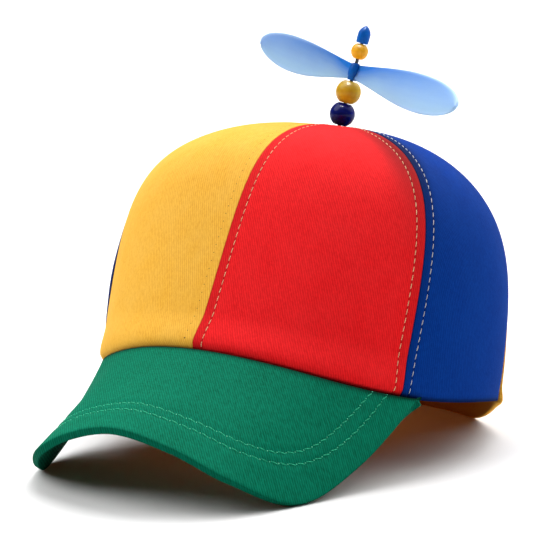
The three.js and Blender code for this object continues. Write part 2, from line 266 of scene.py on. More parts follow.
HUB_PROFILE = (
    (1.1, -4), (1.9, -4), (2.2, -3.8), (2.25, -2.8), (2.3, -2.3), (2.6, -1.7), (2.75, -0.8), (2.78, 0.3),
    (2.7, 1.3), (2.45, 2.4), (2.05, 3.3), (1.6, 3.9), (1.1, 4.1),
)
BLADE_TURN = -21 * DEGREE
BLADE_LENGTH = 72 * MM
BLADE_START = 1.5 * MM
BLADE_ROOT_CHORD = 6.8 * MM
BLADE_CHORD = 18.5 * MM
BLADE_WIDEST = 0.66
BLADE_SWELL = 1.3
BLADE_BLUNTNESS = 2.2
BLADE_ROOT_PITCH = 80 * DEGREE
BLADE_TIP_PITCH = 60 * DEGREE
BLADE_THICKNESS = 1.0 * MM
BLADE_LEAST_WIDTH = 0.02 * MM
BLADE_SQUARENESS = 0.55
BLADE_FULLNESS = 0.75
BLADE_RIM = 0.55
BLADE_RIM_PLACE, BLADE_RIM_WIDTH = 0.95, 0.06
BLADE_CAMBER = 1.1 * MM
BLADE_BENDS = (2.6 * MM, 0)
# Shares of the blade's length over which its rim and its hollow come in from the hub
BLADE_ROOT_SHARE, BLADE_HOLLOW_SHARE = 0.25, 0.5
# Colour of the blades, tinted plastic with painted shade: its depth in the middle, how the shade grows across
# the blade, fades to the tip and adds up at the hub, and the pale edge
TINT_AND_SHADE_MIDDLE, SHADE_ACROSS_BLADE, SHADE_FADE_TO_TIP, SHADE_AT_HUB = 0.5, 0.62, 0.5, 0.35
PALE_EDGE_WIDTH, PALE_EDGE_START, PALE_EDGE_SHARE = 1.1 * MM, 0.2, 0.5
BLADE_STATIONS = 60
BLADE_SIDES = 44


# Helpers for meshes

def new_piece(name, points, faces, body, materials, face_materials=None):
    """A smooth mesh that moves with a body."""
    mesh = bpy.data.meshes.new(name)
    mesh.from_pydata(np.asarray(points).tolist(), [], faces)
    mesh.shade_smooth()
    for material in materials:
        mesh.materials.append(material)
    if face_materials is not None:
        mesh.polygons.foreach_set("material_index", face_materials)
    piece = bpy.data.objects.new(name, mesh)
    bpy.context.scene.collection.objects.link(piece)
    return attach(piece, body)


def add_attribute(piece, name, values):
    """Keeps three numbers for each point, for the material to read."""
    attribute = piece.data.attributes.new(name, "FLOAT_VECTOR", "POINT")
    attribute.data.foreach_set("vector", np.asarray(values, np.float32).ravel())


def grid_normals(points):
    """Unit normals of a grid whose rows go up and whose columns go to the left of the wearer."""
    across = np.gradient(points, axis=1)
    upward = np.gradient(points, axis=0)
    normals = np.cross(across, upward)
    return normals / np.maximum(np.linalg.norm(normals, axis=-1, keepdims=True), TINY)


def grid_faces(rows, columns, closed=False):
    """Quads between the rows of a grid, which is wrapped round when closed."""
    faces = []
    for row in range(rows - 1):
        for column in range(columns if closed else columns - 1):
            after = (column + 1) % columns
            faces.append((row * columns + column, row * columns + after,
                          (row + 1) * columns + after, (row + 1) * columns + column))
    return faces


def shell_faces(rows, columns):
    """Faces of a grid folded into a flat pocket: the grid, its two open sides and its open end."""
    faces = grid_faces(rows, columns)
    last = rows - 1
    for row in range(rows // 2):
        for column, turn in ((0, 1), (columns - 1, -1)):
            corners = [k * columns + column for k in (row, row + 1, last - row - 1, last - row)]
            faces.append(tuple(dict.fromkeys(corners))[::turn])
    for column in range(columns - 1):
        faces.append((last * columns + column, last * columns + column + 1, column + 1, column))
    return faces


def bump(distance, place, width):
    """A smooth hump of height 1."""
    return np.exp(-((distance - place) / width) ** 2)


def smooth_step(value):
    """Eases from 0 to 1 as a value goes from 0 to 1."""
    value = np.clip(value, 0, 1)
    return value * value * (3 - 2 * value)


def smooth_line(knots, places):
    """A smooth curve through a few knots, as uniform cubic pieces between neighbours."""
    knots = np.asarray(knots, float)
    padded = np.vstack([2 * knots[0] - knots[1], knots, 2 * knots[-1] - knots[-2]])
    place = np.clip(places, 0, 1) * (len(knots) - 1)
    index = np.minimum(place.astype(int), len(knots) - 2)
    part = (place - index)[:, None]
    before, here, after, beyond = (padded[index + k] for k in range(4))
    leave, arrive = (after - before) / 2, (beyond - here) / 2
    square = -3 * here + 3 * after - 2 * leave - arrive
    cube = 2 * here - 2 * after + leave + arrive
    return here + leave * part + square * part ** 2 + cube * part ** 3


# Helpers for materials

class Shader:
    """A node material round one Principled shader."""

    def __init__(self, name, **sockets):
        self.material = bpy.data.materials.new(name)
        self.material.use_nodes = True
        self.tree = self.material.node_tree
        self.main = self.tree.nodes["Principled BSDF"]
        for socket, value in sockets.items():
            self.main.inputs[socket.replace("_", " ")].default_value = value

    def node(self, kind, settings=(), **sockets):
        made = self.tree.nodes.new("ShaderNode" + kind)
        for name, value in dict(settings).items():
            setattr(made, name, value)
        for socket, value in sockets.items():
            self.feed(value, made.inputs[socket.replace("_", " ")])
        return made

    def feed(self, value, socket):
        if isinstance(value, bpy.types.NodeSocket):
            self.tree.links.new(value, socket)
        else:
            socket.default_value = value

    def noise(self, place, scale, detail, roughness=0.5):
        made = self.node("TexNoise", Vector=place, Scale=scale, Detail=detail, Roughness=roughness)
        return made.outputs["Fac"]

    def math(self, operation, *values):
        made = self.node("Math", {"operation": operation})
        for value, socket in zip(values, made.inputs):
            self.feed(value, socket)
        return made.outputs[0]

    def mix(self, share, first, second):
        made = self.node("Mix", {"data_type": "RGBA"})
        for value, index in ((share, 0), (first, 6), (second, 7)):
            self.feed(value, made.inputs[index])
        return made.outputs[2]

    def span(self, value, low, high):
        """Spreads a pattern from 0 to 1 over low to high."""
        return self.node("MapRange", Value=value, To_Min=low, To_Max=high).outputs["Result"]

    def contrast(self, value, low, high):
        """Stretches the part of a pattern from low to high over 0 to 1."""
        return self.node("MapRange", Value=value, From_Min=low, From_Max=high).outputs["Result"]

    def set(self, socket, value):
        self.feed(value, self.main.inputs[socket])

    def bumps(self, height, strength, distance):
        made = self.node("Bump", Strength=strength, Distance=distance, Height=height)
        self.set("Normal", made.outputs["Normal"])


def linear(red, green, blue):
    """A colour given from 0 to 255 a channel, as the shader takes it."""
    channels = [c / 255 for c in (red, green, blue)]
    return tuple(c / 12.92 if c <= 0.04045 else ((c + 0.055) / 1.055) ** 2.4 for c in channels) + (1,)


def wave_scale(pitch):
    """The scale at which Blender's wave texture has one band for each pitch."""
    return 2 * math.pi / (20 * pitch)


# Materials

RIB_SHARE, SLUB_SHARE, GRAIN_SHARE = 0.2, 0.45, 0.35
SLUB_STRETCH, GRAIN_FINENESS = 0.3, 0.7
YARN_RANGE = (0.38, 0.62)
YARN_STRENGTH, YARN_DEPTH = 0.6, 0.25 * MM
BLOTCH_SCALE, BLOTCH_RANGE = 70.0, (0.3, 2.8)
LEAST_GLOSS, BLOOM_GLOSS = 0.02, 0.1
SKIN_DEPTH = 0.1 * MM


def cloth_material(name, deep, plain, light, shade_colour, rib_pitch, rib_turn, bloom):
    """Cotton twill: slanting ribs of uneven yarn, grain, soft blotches, painted shade and a faint bloom."""
    shader = Shader(name, Sheen_Weight=bloom, Sheen_Roughness=0.45, Sheen_Tint=light,
                    Specular_IOR_Level=LEAST_GLOSS + BLOOM_GLOSS * bloom)
    place = shader.node("Attribute", {"attribute_name": "weave"}).outputs["Vector"]
    turned = shader.node("Mapping", Vector=place, Rotation=(0, 0, rib_turn)).outputs["Vector"]
    ribs = shader.node("TexWave", {"bands_direction": "X"}, Vector=turned, Scale=wave_scale(rib_pitch),
                       Distortion=2.2, Detail=3.0, Detail_Scale=1.5, Detail_Roughness=0.7).outputs["Fac"]
    stretch = (1 / rib_pitch, SLUB_STRETCH / rib_pitch, 0)
    drawn = shader.node("Mapping", Vector=turned, Scale=stretch).outputs["Vector"]
    slub = shader.noise(drawn, 1.0, 3.0, 0.7)
    grain = shader.noise(place, GRAIN_FINENESS / rib_pitch, 3.0, 0.7)
    blotch = shader.noise(place, BLOTCH_SCALE, 5.0, 0.65)
    uneven = shader.math("ADD", shader.math("MULTIPLY", slub, SLUB_SHARE),
                         shader.math("MULTIPLY", grain, GRAIN_SHARE))
    yarn = shader.math("ADD", shader.math("MULTIPLY", ribs, RIB_SHARE), uneven)
    tone = shader.mix(shader.contrast(yarn, *YARN_RANGE), deep, plain)
    faded = shader.mix(shader.contrast(blotch, *BLOTCH_RANGE), tone, light)
    shade = shader.node("Attribute", {"attribute_name": "shade"}).outputs["Fac"]
    shader.set("Base Color", shader.mix(shade, faded, shade_colour))
    shader.set("Roughness", shader.span(yarn, 0.95, 0.75))
    shader.bumps(yarn, YARN_STRENGTH, YARN_DEPTH)
    return shader.material


def thread_material(name, deep, plain, pitch):
    """Twisted sewing thread, its plies slanting along the object's own coordinates."""
    shader = Shader(name, Sheen_Weight=0.2, Sheen_Roughness=0.4, Sheen_Tint=plain, Specular_IOR_Level=0.1)
    place = shader.node("TexCoord").outputs["Object"]
    slanted = shader.node("Mapping", Vector=place, Rotation=(0.6, 0.5, 0.4)).outputs["Vector"]
    plies = shader.node("TexWave", Vector=slanted, Scale=wave_scale(pitch), Distortion=0.6).outputs["Fac"]
    shader.set("Base Color", shader.mix(plies, deep, plain))
    shader.set("Roughness", shader.span(plies, 0.8, 0.55))
    shader.bumps(plies, 0.4, SKIN_DEPTH)
    return shader.material


def plastic_material(name, deep, plain, cloud_scale, rough, **sockets):
    """Moulded plastic or lacquer: slight clouds in the colour and a fine uneven skin."""
    shader = Shader(name, **sockets)
    place = shader.node("TexCoord").outputs["Object"]
    clouds = shader.noise(place, cloud_scale, 4.0, 0.6)
    grain = shader.noise(place, cloud_scale * 9, 2.0)
    shader.set("Base Color", shader.mix(clouds, deep, plain))
    shader.set("Roughness", shader.span(clouds, rough * 0.7, rough * 1.3))
    shader.bumps(grain, 0.06, SKIN_DEPTH)
    return shader.material


def blade_material():
    """Frosted, tinted plastic with painted shade: deeper at the steep upper edge near the hub, paler to the
    tip.
    """
    shader = Shader("frosted_blue", Transmission_Weight=0.55, IOR=1.25, Specular_IOR_Level=0.35)
    place = shader.node("Attribute", {"attribute_name": "blade"}).outputs["Vector"]
    parts = shader.node("SeparateXYZ", Vector=place)
    clouds = shader.noise(place, 6.0, 3.0)
    depth = shader.math("ADD", parts.outputs["X"], shader.span(clouds, -0.1, 0.1))
    tint_and_shade = shader.mix(depth, linear(170, 205, 230), linear(6, 116, 206))
    rim = shader.mix(parts.outputs["Y"], tint_and_shade, linear(186, 216, 244))
    shader.set("Base Color", rim)
    shader.set("Roughness", shader.span(clouds, 0.32, 0.48))
    shader.bumps(shader.noise(place, 60.0, 2.0), 0.08, SKIN_DEPTH)
    return shader.material


def wire_material():
    """Dark drawn wire with a fine uneven skin."""
    shader = Shader("dark_wire", Metallic=0.9)
    place = shader.node("TexCoord").outputs["Object"]
    lines = shader.noise(place, 900.0, 2.0)
    shader.set("Base Color", shader.mix(lines, linear(40, 42, 48), linear(92, 96, 104)))
    shader.set("Roughness", shader.span(lines, 0.25, 0.45))
    return shader.material


def floor_material():
    """A pale matt floor with hardly visible clouds."""
    shader = Shader("pale_floor", Specular_IOR_Level=0.1)
    place = shader.node("TexCoord").outputs["Object"]
    clouds = shader.noise(place, 2.0, 2.0)
    shader.set("Base Color", shader.mix(clouds, (0.8, 0.8, 0.8, 1), (0.82, 0.82, 0.82, 1)))
    shader.set("Roughness", shader.span(clouds, 0.8, 0.95))
    return shader.material


CROWN_RIBS = {"rib_pitch": 1.0 * MM, "rib_turn": -22 * DEGREE}
PEAK_RIBS = {"rib_pitch": 0.95 * MM, "rib_turn": 36 * DEGREE}
# Each cloth's darkest colour is painted shade, mixed in where the shade attribute says
CLOTH_LOOKS = {
    "yellow": {"deep": linear(220, 154, 44), "plain": linear(238, 180, 62), "light": linear(246, 208, 112),
               "shade_colour": linear(120, 62, 10), "bloom": 0.35, **CROWN_RIBS},
    "red": {"deep": linear(212, 18, 22), "plain": linear(238, 29, 33), "light": linear(248, 54, 56),
            "shade_colour": linear(90, 4, 8), "bloom": 0.22, **CROWN_RIBS},
    "blue": {"deep": linear(2, 42, 118), "plain": linear(3, 53, 136), "light": linear(12, 72, 158),
             "shade_colour": linear(2, 8, 34), "bloom": 0.06, **CROWN_RIBS},
    "green": {"deep": linear(0, 84, 60), "plain": linear(3, 120, 91), "light": linear(10, 141, 111),
              "shade_colour": linear(0, 24, 16), "bloom": 0.04, **PEAK_RIBS},
}
CLOTHS = {name: cloth_material(name + "_twill", **look) for name, look in CLOTH_LOOKS.items()}
THREAD_PLY, HOLE_PLY = 0.5 * MM, 0.4 * MM
IVORY_THREAD = thread_material("ivory_thread", linear(210, 180, 128), linear(242, 218, 172), THREAD_PLY)
YELLOW_THREAD = thread_material("yellow_thread", linear(226, 164, 54), linear(240, 184, 78), THREAD_PLY)
GREEN_THREAD = thread_material("green_thread", linear(10, 146, 106), linear(44, 184, 140), THREAD_PLY)
GREEN_KNOT = thread_material("green_knot", linear(70, 204, 158), linear(120, 230, 190), THREAD_PLY)
PALE_THREAD = thread_material("pale_thread", linear(196, 202, 196), linear(230, 232, 222), THREAD_PLY)
SEAM_THREADS = {"yellow": YELLOW_THREAD, "red": IVORY_THREAD, "blue": PALE_THREAD}
SEAM_STITCHES = {"yellow": FLUSH_STITCH, "red": SEAM_STITCH, "blue": SEAM_STITCH}
# Needle holes are small dark domes: painted shadow in each hole
SHADOWED_NEEDLE_HOLES = {
    "yellow": thread_material("yellow_needle_hole_shadow", linear(84, 48, 8), linear(116, 70, 16), HOLE_PLY),
    "red": thread_material("red_needle_hole_shadow", linear(84, 2, 6), linear(120, 6, 10), HOLE_PLY),
    "blue": thread_material("blue_needle_hole_shadow", linear(2, 10, 38), linear(4, 18, 60), HOLE_PLY),
}
LACQUERS = {
    "navy": {"deep": linear(5, 10, 84), "plain": linear(14, 28, 124), "cloud_scale": 260.0,
             "rough": 0.4, "Specular_IOR_Level": 0.04, "Coat_Weight": 0.22, "Coat_Roughness": 0.08},
    "gold": {"deep": linear(178, 136, 8), "plain": linear(212, 174, 30), "cloud_scale": 320.0,
             "rough": 0.4, "Specular_IOR_Level": 0.15, "Coat_Weight": 0.15, "Coat_Roughness": 0.15},
    "yellow": {"deep": linear(228, 158, 6), "plain": linear(246, 186, 20), "cloud_scale": 400.0,
               "rough": 0.4, "Specular_IOR_Level": 0.25, "Coat_Weight": 0.04, "Coat_Roughness": 0.3},
}
BLUE_MOULDING = {"deep": linear(4, 70, 156), "plain": linear(16, 106, 200), "cloud_scale": 380.0,
                 "rough": 0.3, "Specular_IOR_Level": 0.08}


# Crown form

def round_the_crown(column, unit=1):
    """A smooth function of the angle, all the way round, through one column of the crown table."""
    def at(angle):
        total = 0
        for section in CROWN_SECTIONS:
            away = angle - section["angle"] * DEGREE
            waves = 1 + 2 * np.cos(away) + 2 * np.cos(2 * away) + np.cos(3 * away)
            total = total + unit * section[column] * waves / len(CROWN_SECTIONS)
        return total
    return at


hem_radius = round_the_crown("hem_radius", MM)
hem_height = round_the_crown("hem_height", MM)
taper = round_the_crown("taper")
shoulder = round_the_crown("shoulder")
tuck = round_the_crown("tuck", MM)


def bare_crown_point(angle, rise):
    """Outside of the crown before it is put in the frame; rise runs from 0 at the hem to 1 at the top."""
    closing = np.maximum(1 - rise ** shoulder(angle), 0) ** (1 / CROWN_ROUNDNESS)
    drawn_in = tuck(angle) * np.maximum(1 - rise / TUCK_RISE, 0) ** 2
    radius = hem_radius(angle) * (1 - taper(angle) * rise) * closing - drawn_in
    x = radius * np.sin(angle)
    y = -radius * np.cos(angle) + CROWN_TOP_BACK * rise
    z = CROWN_HEIGHT * rise + hem_height(angle) * (1 - rise) ** 2
    cosine, sine = math.cos(CROWN_PITCH), math.sin(CROWN_PITCH)
    return np.stack([x, y * cosine + z * sine, z * cosine - y * sine + CROWN_LIFT], axis=-1)


def turn_x(angle):
    cosine, sine = math.cos(angle), math.sin(angle)
    return np.array([[1, 0, 0], [0, cosine, -sine], [0, sine, cosine]])


def turn_y(angle):
    cosine, sine = math.cos(angle), math.sin(angle)
    return np.array([[cosine, 0, sine], [0, 1, 0], [-sine, 0, cosine]])


def turn_z(angle):
    cosine, sine = math.cos(angle), math.sin(angle)
    return np.array([[cosine, -sine, 0], [sine, cosine, 0], [0, 0, 1]])


# The spindle stands on the top of the crown, and its joint says where that is in the frame.
spin = frame["joints"][0]
stack_turn = turn_x(-SPINDLE_LEAN_BACK) @ turn_y(SPINDLE_LEAN_LEFT)
stack_base = np.array(spin["pos_m"]) - HUB_HEIGHT * stack_turn[:, 2]
crown_shift = stack_base - bare_crown_point(0.0, 1.0)


def crown_point(angle, rise):
    return bare_crown_point(angle, rise) + crown_shift


def even_rises(angle):
    """Rises that split the wall at one angle evenly, from hem or table to top hole, and the wall's length."""
    rises = 1 - (1 - np.linspace(0, 1, PROFILE_STEPS + 1)) ** 3
    points = crown_point(np.full_like(rises, angle), rises)
    wall = (points[:, 2] >= 0) & (np.linalg.norm(points - stack_base, axis=1) >= TOP_HOLE_RADIUS)
    run = np.concatenate([[0], np.cumsum(np.linalg.norm(np.diff(points[wall], axis=0), axis=1))])
    return np.interp(np.linspace(0, run[-1], PANEL_ROWS + 1), run, rises[wall]), run[-1]


def panel_grid(start):
    """Grid over one panel: points, angles, and distances from its middle, its nearest seam and its hem."""
    angles = np.linspace(start, start + PANEL_SPAN, PANEL_ANGLES)
    found = [even_rises(angle) for angle in angles]
    rises = np.array([rise for rise, _ in found])
    lengths = np.array([length for _, length in found])
    grid = {"point": [], "angle": [], "across": [], "seam": [], "up": []}
    for row in range(PANEL_ROWS + 1):
        line = crown_point(angles, rises[:, row])
        run = np.concatenate([[0], np.cumsum(np.linalg.norm(np.diff(line, axis=0), axis=1))])
        edge = EDGE_COLUMNS * min(1, EDGE_SHARE * run[-1] / EDGE_COLUMNS[-1])
        middle = np.linspace(edge[-1], run[-1] - edge[-1], MIDDLE_COLUMNS + 2)[1:-1]
        across = np.concatenate([edge, middle, run[-1] - edge[::-1]])
        angle = np.interp(across, run, angles)
        grid["point"].append(crown_point(angle, np.interp(angle, angles, rises[:, row])))
        grid["angle"].append(angle)
        grid["across"].append(across - run[-1] / 2)
        grid["seam"].append(np.minimum(across, run[-1] - across))
        grid["up"].append(np.interp(angle, angles, lengths) * row / PANEL_ROWS)
    return {name: np.array(rows) for name, rows in grid.items()}


def sag_hem(grid):
    """Lets the lowest part of a panel down until its hem lies on the table."""
    share = smooth_step((grid["angle"] - HEM_DROP_START) / HEM_DROP_SPAN)
    fade = np.clip(1 - grid["up"] / HEM_DROP_REACH, 0, 1) ** 2
    grid["point"][..., 2] -= grid["point"][0, :, 2] * share * fade


def local_forms(grid, panel, column):
    """One column of the table of dents and puffs, spread over the panel's grid."""
    total = np.zeros_like(grid["seam"])
    for form in LOCAL_FORMS:
        if form["panel"] == panel["name"]:
            own_half = grid["across"] * form["side"] > 0
            beside = bump(grid["seam"], form["away"] * MM, form["wide"] * MM) * own_half
            total += form[column] * beside * bump(grid["up"], form["up"] * MM, form["tall"] * MM)
    return total


def cloth_relief(grid, panel, seed):
    """How far the sewn cloth stands out from the plain form."""
    seam, up, across = grid["seam"], grid["up"], grid["across"]
    room = smooth_step(seam.max(axis=1, keepdims=True) / SEAM_ROOM)
    relief = RIDGE_HEIGHT * bump(seam, RIDGE_PLACE, RIDGE_WIDTH) - SEAM_DEPTH * bump(seam, 0, SEAM_WIDTH)
    relief -= STITCH_DIP * bump(seam, STITCH_INSET, STITCH_DIP_WIDTH)
    relief = room * relief * SEWING[panel["cloth"]]["relief"]
    angle = (grid["angle"] + math.pi) % (2 * math.pi) - math.pi
    inside_ends = np.minimum(angle - PEAK_RIGHT_END, PEAK_LEFT_END - angle)
    over_peak = smooth_step(inside_ends / FRONT_BULGE_FADE)
    rising = np.sin(np.clip(up / FRONT_BULGE_PLACE, 0, 1) * math.pi / 2)
    falling = 1 - smooth_step((up - FRONT_BULGE_PLACE) / (FRONT_BULGE_REACH - FRONT_BULGE_PLACE))
    relief += FRONT_BULGE * over_peak * rising * falling
    relief += room * MM * local_forms(grid, panel, "height")
    waves = np.sin(across / WAVE_ACROSS + seed) * np.sin(up / WAVE_UP + WAVE_PHASE * seed)
    waves += RIPPLE_SHARE * np.sin(across / RIPPLE_ACROSS - RIPPLE_PHASE * seed + up / RIPPLE_UP)
    waves = WAVE_HEIGHT * waves * smooth_step(seam / WAVE_SEAM_FADE)
    return relief + waves * smooth_step(up / WAVE_HEM_FADE)


def cloth_shade(grid, panel):
    """Painted shade on the cloth in its seams, stitch grooves, dents and hem, from 0 to 1."""
    seam, up = grid["seam"], grid["up"]
    depths = SEWING[panel["cloth"]]
    shade = depths["seam"] * bump(seam, 0, SEAM_SHADE_WIDTH)
    shade += depths["groove"] * bump(seam, STITCH_INSET, SEAM_SHADE_WIDTH)
    if panel["name"] != HEM_DROP_PANEL:
        shade += HEM_SHADE * bump(up, 0, HEM_SHADE_WIDTH)
    shade += depths["band"] * (1 - smooth_step(2 * seam / STITCH_INSET - 1))
    return np.clip(shade + local_forms(grid, panel, "shade"), 0, MOST_SHADE)


# Sewing

def stitch_frames(path, normals, stitch):
    """Places along a path of points for every stitch: rows of points, normals and sideways directions."""
    run = np.concatenate([[0], np.cumsum(np.linalg.norm(np.diff(path, axis=0), axis=1))])
    starts = np.linspace(0, run[-1] - stitch["length"], int(run[-1] / stitch["pitch"]))
    places = starts[:, None] + np.linspace(0, stitch["length"], STITCH_RINGS)

    def along(values):
        return np.stack([np.interp(places, run, values[:, axis]) for axis in range(3)], axis=-1)

    points, ups = along(path), along(normals)
    ups /= np.linalg.norm(ups, axis=-1, keepdims=True)
    sides = np.cross(np.gradient(points, axis=1), ups)
    return points, ups, sides / np.linalg.norm(sides, axis=-1, keepdims=True)


def stitch_mesh(path, normals, stitch):
    """Raised thread lengths with a needle hole or knot after each: points, thread faces and knot faces."""
    points, ups, sides = stitch_frames(path, normals, stitch)
    count = len(points)
    part = np.linspace(0, 1, STITCH_RINGS)
    lift = stitch["rise"] * np.sin(part * math.pi) ** STITCH_ARCH - STITCH_SINK * stitch["radius"]
    drift = math.tan(stitch["slant"]) * stitch["length"] * (part - 0.5)
    centre = points + ups * lift[:, None] + sides * drift[:, None]
    girth = stitch["radius"] * np.maximum(np.sin(part * math.pi), STITCH_THIN) ** STITCH_TAPER
    turn = np.arange(STITCH_SIDES) * 2 * math.pi / STITCH_SIDES
    ring = (ups[:, :, None] * np.sin(turn)[:, None] + sides[:, :, None] * np.cos(turn)[:, None])
    thread = centre[:, :, None] + ring * girth[:, None, None]
    size = STITCH_RINGS * STITCH_SIDES
    caps = [tuple(range(STITCH_SIDES))[::-1], tuple(range(size - STITCH_SIDES, size))]
    pattern = grid_faces(STITCH_RINGS, STITCH_SIDES, closed=True) + caps
    faces = [tuple(k + size * i for k in face[::-1]) for i in range(count) for face in pattern]
    ahead = np.gradient(points, axis=1)[:, -1]
    ahead /= np.linalg.norm(ahead, axis=-1, keepdims=True)
    hole_centre = points[:, -1] + ahead * (stitch["pitch"] - stitch["length"]) / 2
    rim_angle = np.arange(KNOT_SIDES) * 2 * math.pi / KNOT_SIDES
    rim = ahead[:, None] * np.cos(rim_angle)[:, None] + sides[:, -1, None] * np.sin(rim_angle)[:, None]
    rim = hole_centre[:, None] + rim * stitch["knot_radius"] - ups[:, -1, None] * KNOT_DEPTH
    dome = hole_centre[:, None] + ups[:, -1, None] * stitch["knot_rise"]
    holes = np.concatenate([rim, dome], axis=1)
    base = count * size
    knot = [((k + 1) % KNOT_SIDES, k, KNOT_SIDES) for k in range(KNOT_SIDES)] + [tuple(range(KNOT_SIDES))]
    step = KNOT_SIDES + 1
    hole_faces = [tuple(base + step * i + k for k in face) for i in range(count) for face in knot]
    return np.concatenate([thread.reshape(-1, 3), holes.reshape(-1, 3)]), faces, hole_faces


def sewn_rows(name, rows, stitch, body, thread, hole):
    """One piece with the stitches of several rows."""
    points, faces, kinds, count = [], [], [], 0
    for path, normals in rows:
        made, threads, holes = stitch_mesh(path, normals, stitch)
        points.append(made)
        faces += [tuple(k + count for k in face) for face in threads + holes]
        kinds += [0] * len(threads) + [1] * len(holes)
        count += len(made)
    return new_piece(name, np.concatenate(points), faces, body, [thread, hole], kinds)


# Crown panels

def panel_piece(panel, seed):
    """One cloth panel with rolled seams and a folded hem, and its two rows of stitches."""
    grid = panel_grid(panel["start"] * DEGREE)
    if panel["name"] == HEM_DROP_PANEL:
        sag_hem(grid)
    normals = grid_normals(grid["point"])
    outer = grid["point"] + normals * cloth_relief(grid, panel, seed)[..., None]
    inner = grid["point"] - normals * CLOTH
    middle, half = (outer[0] + inner[0]) / 2, (outer[0] - inner[0]) / 2
    down = grid["point"][0] - grid["point"][1]
    down *= np.linalg.norm(half, axis=1, keepdims=True) / np.linalg.norm(down, axis=1, keepdims=True)
    turns = np.linspace(math.pi, 0, HEM_ROUND_STEPS + 1)[1:-1]
    fold = [middle + half * math.cos(turn) + down * math.sin(turn) for turn in turns]
    loop = np.concatenate([inner[::-1], fold, outer])
    loop[..., 2] = np.maximum(loop[..., 2], TABLE_CLEARANCE)
    rows, columns = loop.shape[:2]
    faces = shell_faces(rows, columns)
    cloth = new_piece("cloth_" + panel["name"], loop.reshape(-1, 3), faces, "cap", [CLOTHS[panel["cloth"]]])
    weave = np.stack([grid["across"], grid["up"], grid["seam"]], axis=-1)
    add_attribute(cloth, "weave", np.concatenate([weave[::-1], [weave[0]] * len(turns), weave]))
    shade = np.repeat(cloth_shade(grid, panel)[..., None], 3, axis=-1)
    inside = np.maximum(shade, INSIDE_SHADE)
    add_attribute(cloth, "shade", np.concatenate([inside[::-1], [shade[0]] * len(turns), shade]))
    outer_normals = grid_normals(outer)
    columns_sewn = (STITCH_COLUMN, columns - 1 - STITCH_COLUMN)
    rows_sewn = [(outer[SEWN_ROWS, column], outer_normals[SEWN_ROWS, column]) for column in columns_sewn]
    stitches = sewn_rows("stitches_" + panel["name"], rows_sewn, SEAM_STITCHES[panel["cloth"]], "cap",
                         SEAM_THREADS[panel["cloth"]], SHADOWED_NEEDLE_HOLES[panel["cloth"]])
    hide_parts("panel_" + panel["name"])


# Peak

def peak_edge(along):
    knots = [(row["side"], -row["forward"], row["height"]) for row in PEAK_EDGE]
    return smooth_line(np.array(knots) * MM, along) + crown_shift


def peak_surface(along, reach):
    """Middle of the peak: along runs from its right end to its left end, reach from root to free edge."""
    angle = PEAK_RIGHT_END + (PEAK_LEFT_END - PEAK_RIGHT_END) * along
    hem = crown_point(angle, np.zeros_like(angle))
    sideways = crown_point(angle + SMALL_STEP, 0 * angle) - crown_point(angle - SMALL_STEP, 0 * angle)
    out = np.cross(sideways, [0, 0, 1])
    root = hem + out * PEAK_ROOT_GAP / np.linalg.norm(out, axis=1, keepdims=True)
    root[:, 2] -= PEAK_ROOT_DROP
    return root * (1 - reach)[:, None] + peak_edge(along) * reach[:, None]


def peak_row(knots, along):
    """Reach of a stitched row at each place along the peak, the same on both sides of the middle."""
    fine = smooth_line(knots, np.linspace(0, 1, PEAK_ROW_STEPS))
    return np.interp(np.abs(2 * along - 1), fine[:, 0], fine[:, 1], right=-1)


